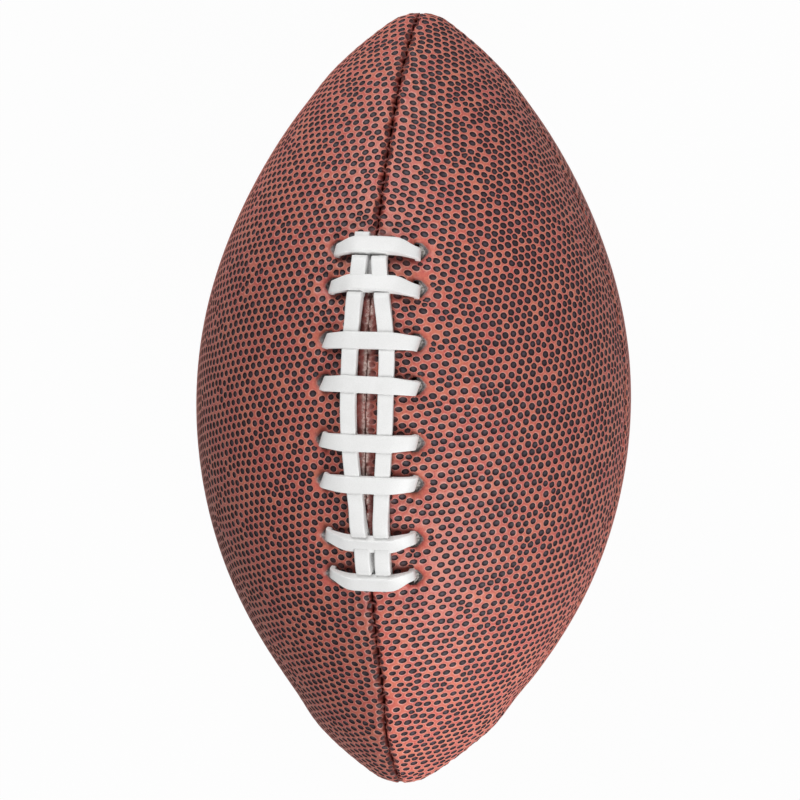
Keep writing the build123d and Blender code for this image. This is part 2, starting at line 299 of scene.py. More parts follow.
def border_line(laced_side):
    """The panel's border as a closed line on the chart, with a few marks to a stitch."""
    count = int(marks_per_stitch * (tip_reach - tip_hole) / stitch_pitch)
    reaches = np.linspace(-1, 1, 2 * count + 1) * (tip_reach - tip_hole)
    marks = chart_of(reaches)
    low = -belly * panel_border(reaches, laced_side == -1)
    high = belly * panel_border(reaches, laced_side == 1)
    return [*zip(marks, low)] + [*zip(marks[::-1], high[::-1])]


marks_per_stitch = 4
same_point = 1e-7


def cut_pattern(border, holes, spots):
    """A flat mesh of triangles between the border, the holes and the dimples' middles."""
    points = list(border)
    edges = loop_edges(0, len(border))
    hole_of = {}
    for number, hole in enumerate(holes):
        hole_of.update({len(points) + k: number for k in range(len(hole))})
        edges += loop_edges(len(points), len(hole))
        points += hole
    fixed = len(points)
    points += spots
    corners = [Vector(point) for point in points]
    flat, _, faces, origin, _, _ = geometry.delaunay_2d_cdt(corners, edges, [], 1, same_point)
    bm = bmesh.new()
    verts = [bm.verts.new((p.x, p.y, 0)) for p in flat]
    source = [ids[0] if ids else 0 for ids in origin]
    for face in faces:
        inside = {hole_of.get(source[k], -1 - k) for k in face}
        if len(inside) > 1:
            bm.faces.new([verts[k] for k in face])
    loose = [verts[k] for k in range(len(verts)) if source[k] >= fixed]
    return bm, loose


def dimple_cells(bm):
    """Turns the triangles round each spot into one cell, with the spot in its middle."""
    bmesh.ops.bisect_edges(bm, edges=bm.edges[:], cuts=1)
    spots = [vert for vert in bm.verts if len(vert.link_edges) > 2 and not vert.is_boundary]
    bmesh.ops.poke(bm, faces=bm.faces[:])
    bmesh.ops.dissolve_verts(bm, verts=spots)
    return [face for face in bm.faces if len(face.verts) > 4]


def press_dimples(bm, cells, dimple_size, stretch, rng):
    """Insets each cell to an oval rim, sinks a smaller oval in it and closes that with a shallow floor."""
    dip = bm.verts.layers.float.new("dip")
    tone = bm.verts.layers.float.new("tone")
    plan = []
    for cell in cells:
        middle = cell.calc_center_median()
        reach = float(reach_of(middle.x))
        off = float(meridian(reach)[1])
        scale = belly / off
        long_share, tilt = stretch(reach, middle.y / belly * off)
        size = dimple_size * scale * rng.uniform(*size_spread)
        wide = size * math.sqrt(long_share)
        slim = size / math.sqrt(long_share)
        plan.append((middle, wide, slim, tilt, rng.random(), [v.co - middle for v in cell.verts]))
        for vert in cell.verts:
            vert.co.z = land_rise
            vert[tone] = 0.5

    def oval(cells, share, height, level):
        for cell, (middle, wide, slim, tilt, shade, spokes) in zip(cells, plan):
            for vert, spoke in zip(cell.verts, spokes):
                length = spoke.length
                angle = math.atan2(spoke.x, spoke.y) - tilt
                radius = 1 / math.hypot(math.cos(angle) / wide, math.sin(angle) / slim)
                vert.co = middle + spoke * (min(radius, rim_share * length) * share / length)
                vert.co.z = height
                vert[dip] = level
                vert[tone] = shade

    bmesh.ops.inset_individual(bm, faces=cells, thickness=dimple_size / 4)
    oval(cells, 1, 0, 1)
    for cell in cells:
        cell.material_index = 1
    bmesh.ops.inset_individual(bm, faces=cells, thickness=dimple_size / 4)
    oval(cells, floor_share, -dimple_depth, 2)
    shades = [entry[4] for entry in plan]
    middles = bmesh.ops.poke(bm, faces=cells)["verts"]
    for vert, shade in zip(middles, shades):
        vert[dip] = 3
        vert[tone] = shade


size_spread = (0.92, 1.08)
land_rise = 0.00012
dimple_depth = 0.00022
floor_share = 0.74
rim_share = 0.84


def drawn_in(spot, slot_ends, share):
    """A point of a slot's edge, drawn by a share of its distance towards the slot's inner end."""
    for middle, outward in slot_ends:
        if (spot - middle).length < slot_room:
            return Vector((spot.x, spot.y - share * (spot.y - middle.y + outward * slot_back)))
    return spot


def turn_in_edges(bm, slot_ends):
    """Carries every open edge down the thickness of the hide, where the slots close on the lace."""
    rims = [edge for edge in bm.edges if edge.is_boundary]
    for drop, share in edge_steps:
        grown = bmesh.ops.extrude_edge_only(bm, edges=rims)["geom"]
        for vert in (part for part in grown if isinstance(part, bmesh.types.BMVert)):
            vert.co = (*drawn_in(vert.co.xy, slot_ends, share), -drop)
        rims = [part for part in grown if isinstance(part, bmesh.types.BMEdge) and part.is_boundary]


def close_inside(bm, border, holes, slot_ends, spots):
    """Closes the panel behind with a plain skin on the same outlines."""
    for _, share in edge_steps:
        holes = [[drawn_in(Vector(spot), slot_ends, share) for spot in hole] for hole in holes]
    skin, _ = cut_pattern(border, holes, spots)
    bmesh.ops.translate(skin, verts=skin.verts[:], vec=(0, 0, -hide_thickness))
    spare = bpy.data.meshes.new("spare")
    skin.to_mesh(spare)
    skin.free()
    bm.from_mesh(spare)
    bpy.data.meshes.remove(spare)
    deepest = [vert for vert in bm.verts if vert.co.z < -deep_share * hide_thickness]
    bmesh.ops.remove_doubles(bm, verts=deepest, dist=skin_join)


deep_share = 0.99
skin_join = 0.000002
slot_back = 0.0024
slot_room = 0.0075
edge_steps = ((0.0006, 0.15), (hide_thickness, 0.4))


def flank_pull(reach):
    """How far the three closed seams are drawn in from the plain round of the ball."""
    front = flank_front * bell(reach - flank_front_reach, flank_front_length)
    return front + flank_rear * bell(reach + flank_rear_reach, flank_rear_length)


def rear_lean(reach):
    """How far the rear tip was sewn off the axis, to the left."""
    return rear_offset * smooth_step(-reach, *rear_offset_span)


def painted(mesh, name, values):
    """Keeps a value for each point of a mesh, for its material to read."""
    layer = mesh.attributes.new(name, "FLOAT", "POINT")
    layer.data.foreach_set("value", values.astype(np.float32))


def wrap(mesh, middle_turn, laced_side, slots, tone_and_light_of):
    """Lays the flat panel on the ball: over the shoulders at its seams, and sunk round its slots."""
    flat = np.empty(len(mesh.vertices) * 3)
    mesh.vertices.foreach_get("co", flat)
    mark, side, height = flat.reshape(-1, 3).T
    reach = reach_of(mark)
    place, off, lean = meridian(reach)
    turn = side / belly
    half = np.where(turn < 0, -1, 1)
    laced = half == laced_side
    shapes = [seam_shape(reach, flag) for flag in (False, True)]
    gap, shoulder, open_share = [np.where(laced, b, a) for a, b in zip(*shapes)]
    border = quarter / 2 - (gap - shoulder * (quarter - 1)) / off
    inside = (border - np.abs(turn)) * off
    bend = np.clip((shoulder * quarter - inside) / shoulder, 0, quarter)
    between = np.cos(math.pi * reach / stitch_pitch) ** 2
    ragged = np.sin(reach / ragged_lengths[0]) * np.sin(reach / ragged_lengths[1] + 1)
    pinch = seam_scallop * open_share * (between + ragged) * np.sin(2 * bend)
    rolled = shoulder * (1 - np.sin(bend))
    from_seam = gap + pinch + np.where(bend > 0, rolled, inside - shoulder * (quarter - 1))
    sunk = -shoulder * (1 - np.cos(bend))
    drawn = seam_sink * open_share * (stitch_hold - between) - ridge_rise * (1 - open_share)
    sunk = sunk - drawn * bell(inside, seam_sink_width)
    slot_shade = np.zeros_like(reach)
    cut_edge = np.zeros_like(reach)
    for slot_reach, slot_turn in slots:
        out = -laced_side * (turn - slot_turn) * off
        away = np.hypot((reach - slot_reach) / slot_dish_long, (out - slot_dish_shift) / slot_dish_wide)
        sunk = sunk - slot_sink * bell(np.maximum(away - slot_sink_start, 0), slot_sink_fade)
        # Painted shade round the rim of each slot.
        dark = slot_shade_strength * bell(np.maximum(away - slot_shade_start, 0), slot_shade_fade)
        slot_shade = np.maximum(slot_shade, dark)
        cut_edge = np.maximum(cut_edge, (away < cut_room) & (height < -cut_depth))
    below = np.minimum(height + 2 * dimple_depth, 0)
    relief = height - below
    from_seam = from_seam - relief * np.sin(bend)
    level = sunk + relief * np.cos(bend) + below
    corner = corner_front * smooth_step(reach, *corner_span)
    corner = corner + corner_rear * smooth_step(-reach, *corner_span)
    level = level + corner * off * (1 - np.sin(2 * np.clip(from_seam / off, 0, quarter / 2)))
    level = level - np.where(laced, 0, flank_pull(reach)) * bell(from_seam / off, flank_turn)
    turned = half * (quarter / 2 - from_seam / off) + middle_turn
    radius = off + level * np.cos(lean)
    aside = rear_lean(reach) - radius * np.sin(turned)
    laid = np.stack((place + level * np.sin(lean), aside, belly + radius * np.cos(turned)), axis=1)
    mesh.vertices.foreach_set("co", laid.ravel())
    # Painted shade: the hide is darkened into each seam's valley, round the slots and beside the laces, all
    # in one mask.
    shade = open_share * np.exp(-np.maximum(inside - shade_width - shade_ragged * ragged, 0) / shade_fade)
    shade = np.maximum(shade, slot_shade * (1 - cut_edge))
    bare = np.where(laced, (1 - open_share) * (1 - smooth_step(from_seam, *ridge_span)), 0)
    # Painted shade beside the long runs and the bars, deeper and wider on the ridge between the runs.
    if laced_side:
        beside = lace_distance(reach, from_seam, -laced_side)
        lace_shade = lace_shade_strength * np.exp(-beside / (lace_shade_fade + ridge_shade_spread * bare))
        shade = np.maximum(shade, np.where(laced, (lace_shade + ridge_shade_gain * bare * lace_shade) * (1 - cut_edge), 0))
    painted(mesh, "near_seam", shade)
    painted(mesh, "tone_and_light", tone_and_light_of(reach))
    painted(mesh, "cut", cut_edge)
    painted(mesh, "ridge", bare)
    painted(mesh, "worn", edge_rub * (1 - open_share) * bell(inside - rub_place, rub_width))


ragged_lengths = (0.00061, 0.00097)
seam_scallop = 0.0006
seam_sink = 0.0004
seam_sink_width = 0.004
stitch_hold = 1.4
ridge_rise = 0.0006
ridge_span = (0.002, 0.0036)
slot_sink = 0.0008
slot_dish_long = 0.0034
slot_dish_wide = 0.0029
slot_dish_shift = 0.0005
slot_sink_start = 0.8
slot_sink_fade = 0.75
slot_shade_strength = 0.6
slot_shade_start = 0.9
slot_shade_fade = 0.22
cut_room = 1.7
cut_depth = 0.0003
corner_front = 0.035
corner_rear = 0.07
corner_span = (0.112, 0.13)
flank_front = 0.0019
flank_front_reach = 0.078
flank_front_length = 0.045
flank_rear = 0.0009
flank_rear_reach = 0.105
flank_rear_length = 0.03
flank_turn = 0.4
rear_offset = 0.0016
rear_offset_span = (0.1, 0.142)
shade_width = 0.001
shade_ragged = 0.0007
shade_fade = 0.0014
lace_shade_strength = 0.8
lace_shade_fade = 0.0011
ridge_shade_gain = 0.3
ridge_shade_spread = 0.0016
edge_rub = 0.9
rub_place = 0.0009
rub_width = 0.0007


def attribute(tree, name):
    return add(tree, "Attribute", {"attribute_name": name}).outputs["Fac"]


def toned_and_lit(tree, colour):
    """A colour scaled along the panel: partly the hide's own tone, partly painted light and shade."""
    depth = attribute(tree, "tone_and_light")
    return add(tree, "VectorMath", {"operation": "SCALE"}, _0=colour, Scale=depth).outputs[0]


def rubbed_pale(tree, colour, tone):
    """A colour with the pale rub along the edges that the lacing draws together."""
    rub = add(tree, "Math", {"operation": "MULTIPLY"}, _0=attribute(tree, "worn"), _1=tone)
    return mix(tree, rub.outputs[0], colour, (0.8, 0.68, 0.62, 1))


def hide_finishes():
    """The net between the dimples, and the ink in them."""
    land = finish("pebbled hide", Roughness=0.42, Specular_IOR_Level=0.42)
    tree = land.node_tree
    grain = mottled(tree, 140, 1500)
    colour = mix(tree, grain.outputs["Tone"], (0.53, 0.102, 0.09, 1), (0.63, 0.192, 0.122, 1))
    # Painted highlight: a pale ring round the rim of each dimple.
    rim_highlight = add(tree, "MapRange", Value=attribute(tree, "dip"), From_Min=0.5, From_Max=1.0, To_Max=0.8)
    colour = mix(tree, rim_highlight.outputs[0], colour, (0.8, 0.38, 0.33, 1))
    # Darker red-brown on the ridge between the long runs.
    ridge_blend = add(tree, "Math", {"operation": "MULTIPLY"}, _0=attribute(tree, "ridge"), _1=0.85)
    colour = mix(tree, ridge_blend.outputs[0], colour, (0.27, 0.062, 0.05, 1))
    # Painted shade: the net darkens to near black where that mask is high.
    near = attribute(tree, "near_seam")
    shade = add(tree, "MapRange", Value=near, From_Min=0.25, From_Max=1.0, To_Max=0.9)
    colour = mix(tree, shade.outputs[0], colour, (0.09, 0.012, 0.012, 1))
    colour = rubbed_pale(tree, colour, grain.outputs["Tone"])
    # The cut wall of a slot: grey backing cloth, mottled with painted shade.
    cut_cloth_and_shade = mix(tree, grain.outputs["Tone"], (0.02, 0.014, 0.014, 1), (0.28, 0.26, 0.26, 1))
    colour = mix(tree, attribute(tree, "cut"), colour, cut_cloth_and_shade)
    bump = add(tree, "Bump", Distance=0.00008, Height=grain.outputs["Height"])
    connect(land, Base_Color=toned_and_lit(tree, colour), Normal=bump.outputs[0])

    ink = finish("inked dimple", Roughness=0.5, Specular_IOR_Level=0.33)
    tree = ink.node_tree
    grain = mottled(tree, 200, 2200)
    dark = mix(tree, grain.outputs["Tone"], (0.013, 0.005, 0.006, 1), (0.028, 0.01, 0.012, 1))
    # Painted reflection: each dimple's floor is a paler grey towards its middle, as if it caught the light;
    # how pale varies at random from dimple to dimple.
    painted_floor_sheen = mix(tree, attribute(tree, "tone"), (0.04, 0.03, 0.039, 1), (0.08, 0.062, 0.081, 1))
    depth = add(tree, "MapRange", Value=attribute(tree, "dip"), From_Min=2.0, From_Max=2.7)
    colour = mix(tree, depth.outputs[0], dark, painted_floor_sheen)
    near = attribute(tree, "near_seam")
    smudge = add(tree, "MapRange", Value=near, From_Min=0.1, From_Max=0.5, To_Max=0.8)
    smudge = add(tree, "Math", {"operation": "MULTIPLY"}, _0=smudge.outputs[0], _1=grain.outputs["Tone"])
    colour = mix(tree, smudge.outputs[0], colour, (0.13, 0.045, 0.04, 1))
    # On that ridge the ink fades to red-brown.
    ridge_blend = add(tree, "Math", {"operation": "MULTIPLY"}, _0=attribute(tree, "ridge"), _1=0.95)
    colour = mix(tree, ridge_blend.outputs[0], colour, (0.24, 0.057, 0.046, 1))
    colour = rubbed_pale(tree, colour, grain.outputs["Tone"])
    bump = add(tree, "Bump", Distance=0.00005, Height=grain.outputs["Height"])
    connect(ink, Base_Color=toned_and_lit(tree, colour), Normal=bump.outputs[0])
    return land, ink


hide, dimple_ink = hide_finishes()


def stretch_of(quarter_name):
    """How the hide was pulled: each dimple's length over its width, and the tilt of its length."""
    def pulled(reach, around):
        from_lacing = belly * quarter / 2 + around
        away = float(smooth_step(abs(reach), *away_span))
        tilt = math.atan2(tilt_rate * reach, tilt_base)
        if quarter_name == "lace_right":
            return max(lacing_stretch - stretch_loss * from_lacing, 1.0) + away_stretch_right * away, -tilt
        return plain_stretch + away_stretch * away, tilt
    return pulled


lacing_stretch = 1.6
stretch_loss = 11
plain_stretch = 1.06
away_span = (0.03, 0.08)
away_stretch_right = 0.2
away_stretch = 0.12
tilt_rate = 0.3
tilt_base = 0.06


pair_pitch = 0.0344
pair_spacing = 0.0146
bar_wander = (-0.0023, -0.0006, 0.0006, 0.0001, -0.0002, 0, 0, 0.0009)
lace_width = 0.006
lace_mid_reach = 0.0164
lace_end_reach = 0.0142
slot_margin = 0.0007
lacing_shift = 0.001
long_width = 0.0055
long_front = 0.0634
long_rear = -0.0605

last_bar = 1.5 * pair_pitch + pair_spacing / 2
nominal_places = [(k * pair_pitch + e * pair_spacing) / 2 for k in (3, 1, -1, -3) for e in (1, -1)]
bar_places = [place + wander for place, wander in zip(nominal_places, bar_wander)]


def lace_reach(place):
    """Distance of a bar's slots from the middle of the lacing, less towards its ends."""
    return lace_mid_reach - (lace_mid_reach - lace_end_reach) * (place / last_bar) ** 2


def left_side(reach):
    """Middle of the left long run, measured to the right of the seam."""
    return -0.0057 + 0.0016 * smooth_step(reach, 0.02, 0.058) + 0.005 * smooth_step(-reach, -0.005, 0.062)


def right_side(reach):
    """Middle of the right long run, measured the same way."""
    return 0.0072 - 0.0052 * smooth_step(reach, 0.016, 0.062) - 0.0016 * smooth_step(-reach, 0, 0.04)


def lace_distance(reach, from_seam, side):
    """Distance over the cover to the edge of the nearest lace, right (1) or left (-1) of the seam."""
    middle = right_side(reach) if side > 0 else -left_side(reach)
    past_end = np.maximum(np.abs(reach) - long_front, 0)
    nearest = np.hypot(np.maximum(np.abs(from_seam - middle) - long_width / 2, 0), past_end)
    for place in bar_places:
        past_edge = np.maximum(np.abs(reach - place) - lace_width / 2, 0)
        past_slot = np.maximum(from_seam - lace_reach(place) - side * lacing_shift, 0)
        nearest = np.minimum(nearest, np.hypot(past_edge, past_slot))
    return nearest


def slot_spot(place, side):
    """A lace slot's middle as arc length from the belly and turn from the lacing seam."""
    lean = math.asin(place / body_radius)
    section = body_radius + body_centre / math.cos(lean)
    turn = (lace_reach(place) + slot_margin + side * lacing_shift) / section
    return body_radius * lean, math.atan2(math.sin(turn), math.cos(turn) * math.cos(lean))


def slot_line(reach, turn, outward):
    """Outline of a slot on the chart: square where the lace comes up, pointed away from the lacing."""
    half = [(0.0026, -0.0024), (0.0032, -0.0014), (0.003, 0.0008), (0.0018, 0.0022), (0.0005, 0.0034)]
    outline = half + [(-along, out) for along, out in reversed(half)]
    off = float(meridian(reach)[1])
    return [(float(chart_of(reach + a)), belly * (turn + outward * o / off)) for a, o in outline]


def round_line(radius, count):
    angles = [2 * math.pi * k / count for k in range(count)]
    return [(radius * math.cos(a), radius * math.sin(a)) for a in angles]


def cover_panel(number, quarter_name, spacing, pull, dimple_size):
    """One panel, laid out flat with its slots or valve hole, pressed with dimples and laid on the ball."""
    rng = np.random.default_rng(40 + number)
    laced_side = {"lace_right": -1, "lace_left": 1}.get(quarter_name, 0)
    slots = []
    holes = []
    keep_clear = []
    if laced_side:
        for place in bar_places:
            reach, turn = slot_spot(place, -laced_side)
            turn = laced_side * (quarter / 2 - turn)
            slots.append((reach, turn))
            holes.append(slot_line(reach, turn, -laced_side))
            keep_clear.append((reach, turn - laced_side * slot_clear_shift / belly, *slot_clear))
    if quarter_name == "back_right":
        holes.append(round_line(valve_hole, valve_hole_sides))
        keep_clear.append((0, 0, valve_clear, valve_clear))
    border = border_line(laced_side)
    bm, loose = cut_pattern(border, holes, pebble_spots(spacing, pull, laced_side, keep_clear, rng))
    for _ in range(3):
        bmesh.ops.smooth_vert(bm, verts=loose, factor=0.5, use_axis_x=True, use_axis_y=True)
    cells = dimple_cells(bm)
    press_dimples(bm, cells, dimple_size, stretch_of(quarter_name), rng)
    slot_ends = [(Vector((float(chart_of(reach)), turn * belly)), -laced_side) for reach, turn in slots]
    turn_in_edges(bm, slot_ends)
    close_inside(bm, border, holes, slot_ends, pebble_spots(skin_spacing, 1, laced_side, keep_clear, rng))
    bmesh.ops.recalc_face_normals(bm, faces=bm.faces[:])
    mesh = bpy.data.meshes.new(f"cover_{quarter_name}")
    bm.to_mesh(mesh)
    bm.free()
    wrap(mesh, (number + 0.5) * quarter, laced_side, slots, tone_and_light_by_panel[quarter_name])
    mesh.shade_smooth()
    mesh.materials.append(hide)
    mesh.materials.append(dimple_ink)
    panel = bpy.data.objects.new(mesh.name, mesh)
    bpy.context.scene.collection.objects.link(panel)
    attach(panel, "root")
    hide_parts(f"panel_{quarter_name}")


def tone_and_light_along(level, rear_gain=0, rear_span=(0, 1), front_gain=0, front_span=(0, 1)):
    """How much lighter or darker a panel is along its length, partly the hide's own tone and partly painted
    light and shade: a plain level, and what it gains towards each tip.
    """
    def depth(reach):
        to_rear = smooth_step(-reach, *rear_span)
        to_front = smooth_step(reach, *front_span)
        return level + rear_gain * to_rear + front_gain * to_front
    return depth


slot_clear = (0.0039, 0.0036)
slot_clear_shift = 0.0006
valve_hole = 0.0044
valve_hole_sides = 24
valve_clear = 0.0058
skin_spacing = 0.009
# Partly the hide's own tone and partly painted light and shade: the right panel lighter towards its rear
# tip, the left one darker overall and towards its rear, and lighter towards its front.
tone_and_light_by_panel = {
    "lace_right": tone_and_light_along(1, 0.29, (0.03, 0.12), 0.07, (0.03, 0.07)),
    "back_right": tone_and_light_along(1),
    "back_left": tone_and_light_along(1),
    "lace_left": tone_and_light_along(0.92, -0.13, (0, 0.1), 0.16, (0.03, 0.09)),
}
# Each panel's spacing of dimples, pull round the ball and radius of a dimple.
pebbles = {
    "lace_right": (0.0033, 1.15, 0.00126),
    "back_right": (0.00325, 1.0, 0.00118),
    "back_left": (0.00325, 1.0, 0.00118),
    "lace_left": (0.00317, 1.0, 0.0012),
}
for number, quarter_name in enumerate(quarters):
    cover_panel(number, quarter_name, *pebbles[quarter_name])


# The seam thread: waxed cord, sewn through the turned-in edges of two panels and pulled tight.
# Only a short stitch of it shows in the valley, across each place where the edges are drawn together.
def along_path(points):
    """Directions of a path at its points."""
    steps = [(after - before).normalized() for before, after in zip(points, points[1:])]
    inner = [(a + b).normalized() for a, b in zip(steps, steps[1:])]
    return [steps[0], *inner, steps[-1]]


def carried(points, width):
    """A width direction taken along a path without twisting."""
    widths = [width]
    heads = along_path(points)
    for before, after in zip(heads, heads[1:]):
        widths.append(before.rotation_difference(after) @ widths[-1])
    return widths


def path_frames(points, widths, heights=None):
    """A frame at each point of a path: across its width, up through its thickness, and along it.
    The lengths of the widths, and the heights, are shares of the outline's own size."""
    frames = []
    for point, head, width, height in zip(points, along_path(points), widths, heights or [1] * len(points)):
        up = head.cross(width).normalized()
        axes = Matrix((up.cross(head) * width.length, up * height, head)).transposed()
        frames.append(Matrix.Translation(point) @ axes.to_4x4())
    return frames


def sweep(bm, sides, outline, frames):
    """Carries a closed outline along a row of frames, and closes both ends."""
    ring = bmesh.ops.create_circle(bm, segments=sides, radius=1.0)["verts"]
    for vert in ring:
        vert.co = frames[0] @ Vector((*outline(vert.co.x, vert.co.y), 0))
    edges = list(dict.fromkeys(edge for vert in ring for edge in vert.link_edges))
    rims = [edges]
    for before, after in zip(frames, frames[1:]):
        grown = bmesh.ops.extrude_edge_only(bm, edges=edges)["geom"]
        edges = [part for part in grown if isinstance(part, bmesh.types.BMEdge) and part.is_boundary]
        verts = [part for part in grown if isinstance(part, bmesh.types.BMVert)]
        bmesh.ops.transform(bm, matrix=after @ before.inverted(), verts=verts)
    rims.append(edges)
    for rim in rims:
        bmesh.ops.edgeloop_fill(bm, edges=rim)


def piece_of(name, bm, material, slot_name, *nodes):
    """A finished piece of the ball that stands for these nodes."""
    bmesh.ops.recalc_face_normals(bm, faces=bm.faces[:])
    mesh = bpy.data.meshes.new(name)
    bm.to_mesh(mesh)
    bm.free()
    mesh.shade_smooth()
    mesh.materials.append(material)
    piece = bpy.data.objects.new(name, mesh)
    bpy.context.scene.collection.objects.link(piece)
    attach(piece, "root")
    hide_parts(*nodes)
    return piece


thread_radius = 0.0004
thread_sides = 6
stitch_reach = 0.0019
thread_end = 0.006
opening_end = 0.0628
stitch_slant = 0.0009
slant_spread = (0.4, 1.6)
stitch_drop = 0.0004


def seam_point(reach, turn, side, depth):
    """A point beside a seam, by arc length from the belly, the seam's turn, side distance and depth."""
    place, off, lean = (float(value) for value in meridian(reach))
    if turn:
        depth += float(flank_pull(reach))
    radius = off - depth * math.cos(lean)
    across = Vector((0, -math.cos(turn), -math.sin(turn)))
    out = Vector((0, -math.sin(turn), math.cos(turn)))
    middle = Vector((place - depth * math.sin(lean), float(rear_lean(reach)), belly))
    return middle + out * radius + across * side


def thread_outline(x, y):
    return x * thread_radius, y * thread_radius


def seam_strand(name, turn, first, last):
    """A strand that crosses its seam at each stitch and goes on to the next one behind the panel's edge."""
    count = round((last - first) / stitch_pitch)
    rng = random.Random(name)
    points = []
    for number in range(count + 1):
        reach = (math.floor(first / stitch_pitch) + number + 0.5) * stitch_pitch
        side = stitch_reach if number % 2 else -stitch_reach
        slant = rng.uniform(*slant_spread) * stitch_slant
        low = rng.uniform(0, stitch_drop)
        points += [seam_point(reach + slant * s, turn, side * s, depth + low) for s, depth in stitch_rise]
    bm = bmesh.new()
    start = seam_point(0, turn, 0, 0) - ball_centre
    sweep(bm, thread_sides, thread_outline, path_frames(points, carried(points, start.normalized())))
    piece_of(f"{name}_stitches", bm, seam_cord, "seam_thread", name)


# Each stitch by its share of the way to the side, and its depth there.
stitch_rise = ((1, 0.0024), (0.55, 0.0009), (0, 0.0007), (-0.55, 0.0009), (-1, 0.0024))
ball_centre = Vector((0, 0, belly))
seam_cord = two_tone(
    "waxed thread", (0.035, 0.007, 0.008, 1), (0.26, 0.05, 0.04, 1), 700, 4000, 0.00005, Roughness=0.55
)
far_end = tip_reach - thread_end
for name, turn in (("right", quarter), ("back", 2 * quarter), ("left", 3 * quarter)):
    seam_strand(f"seam_thread_{name}", turn, -far_end, far_end)
seam_strand("seam_thread_lace_front", 0, opening_end, far_end)
seam_strand("seam_thread_lace_rear", 0, -far_end, -opening_end)


# The lacing: soft white vinyl lace. Two long runs lie along the seam, over the ridge that it makes.
# One cross lace holds them down: eight bars in four pairs, each up one slot and down the other.
lace_thickness = 0.002
lace_sides = 28
lace_square = 0.2
inner_lace_depth = 0.0055
foot_bend = 0.003
crown_height = 0.0027
crown_swell = 0.6
end_rise = 0.0004
lace_tail = 0.004
to_right = Vector((0, -1, 0))
to_front = Vector((1, 0, 0))


def lace_outline(width, thickness):
    """A flat section with soft edges."""
    def soft(x, y):
        return (
            math.copysign(abs(x) ** lace_square, x) * width / 2,
            math.copysign(abs(y) ** lace_square, y) * thickness / 2,
        )
    return soft


def lacing_station(lean):
    """The lacing at a lean of the body: the seam's point, the ways along and out of it, and its section."""
    out = Vector((math.sin(lean), 0, math.cos(lean)))
    along = Vector((math.cos(lean), 0, -math.sin(lean)))
    section = body_radius + body_centre / math.cos(lean)
    seam = Vector((0, 0, belly + body_centre)) + out * body_radius
    return seam, along, out, section


def long_point(reach, side, height):
    """A point over the cover beside the lacing seam, and the way across the lace there."""
    seam, _, out, section = lacing_station(reach / body_radius)
    turn = side / section
    up = out * math.cos(turn) + to_right * math.sin(turn)
    return seam + out * -section + up * (section + height), to_right * math.cos(turn) - out * math.sin(turn)


def cross_bar(place, roll, pinch, slant, rng):
    """One bar from left to right: its middle line, and the width and thickness of the lace along it.
    Near the ends of the lacing a bar rolls outwards, and its outer edge is drawn in at the slots."""
    seam, along, out, section = lacing_station(math.asin(place / body_radius))
    outwards = math.copysign(1, place)
    turn = lace_reach(place) / section
    way_up = Vector((math.sin(turn), math.cos(turn)))
    slot = way_up * section - Vector((0, section))
    foot = slot - way_up * inner_lace_depth
    inner = foot - Vector((way_up.y, -way_up.x)) * foot_bend
    crown = Vector((0, crown_height + (end_rise if roll else 0)))
    leg = geometry.interpolate_bezier(inner, foot, foot, foot + way_up * foot_bend, leg_steps)
    flat_top = crown + Vector((crown_pull, 0))
    arch = geometry.interpolate_bezier(slot, slot + way_up * slot_pull, flat_top, crown, arch_steps)
    half = [(point.xy, 1.0) for point in leg]
    half += [(point.xy, float(smooth_step(point.x / slot.x, 0.45, 1.0))) for point in arch]
    whole = [(Vector((-flat.x, flat.y)), end) for flat, end in half] + half[-2::-1]
    yaw = Matrix.Rotation(rng.uniform(-bar_yaw, bar_yaw), 3, out)
    stretch = []
    for flat, end in whole:
        inset = along * outwards * (pinch * end * lace_width / 2 - (bar_bow * (1 - end) if roll else 0))
        point = seam + yaw @ (to_right * (flat.x + lacing_shift) + out * flat.y - inset)
        tilt = outwards * roll * (1 - 0.8 * end)
        flare = to_right * math.copysign(outwards * bar_flare * pinch * end, flat.x)
        width = yaw @ (along * math.cos(tilt) - out * math.sin(tilt) - flare + to_right * slant * end)
        stretch.append((point, width.normalized() * (1 - pinch * end), 1 + crown_swell * (1 - end)))
    return stretch


def inner_run(first_place, first_side, last_place, last_side):
    """A stretch of the lace behind the cover, from one slot's foot to the next."""
    stretch = []
    for share in (0.15, 0.38, 0.62, 0.85):
        reach = body_radius * math.asin((first_place + (last_place - first_place) * share) / body_radius)
        side = first_side + (last_side - first_side) * share + lacing_shift
        stretch.append((long_point(reach, side, -inner_lace_depth)[0], to_front, 1))
    return stretch


lace_white = two_tone(
    "white vinyl lace", (0.83, 0.83, 0.82, 1), (0.9, 0.9, 0.895, 1), 120, 2600, 0.00004, Roughness=0.4
)
# Painted shade: the same white lace, greyed where it lies low between the long runs.
lace_in_painted_shade = two_tone(
    "white lace in painted shade", (0.3, 0.29, 0.29, 1), (0.5, 0.49, 0.49, 1), 120, 2600, 0.00004, Roughness=0.45
)
bar_rolls = [math.radians(angle) for angle in (10, 14, 0, 0, 0, 0, 28, 20)]
bar_pinches = (0.3, 0.24, 0.12, 0.12, 0.12, 0.12, 0.3, 0.42)
bar_slants = (0.05, 0.1, 0.32, 0.36, 0.26, 0.34, 0.05, 0)
bar_flare = 0.3
bar_bow = 0.0007
bar_yaw = 0.02
slot_pull = 0.0033
crown_pull = 0.0115
leg_steps = 6
arch_steps = 16
rng = random.Random(7)
first_foot = foot_bend - lace_reach(bar_places[0])
last_foot = lace_reach(bar_places[-1]) - foot_bend
lace = inner_run(bar_places[0], first_foot + lace_tail, bar_places[0], first_foot)
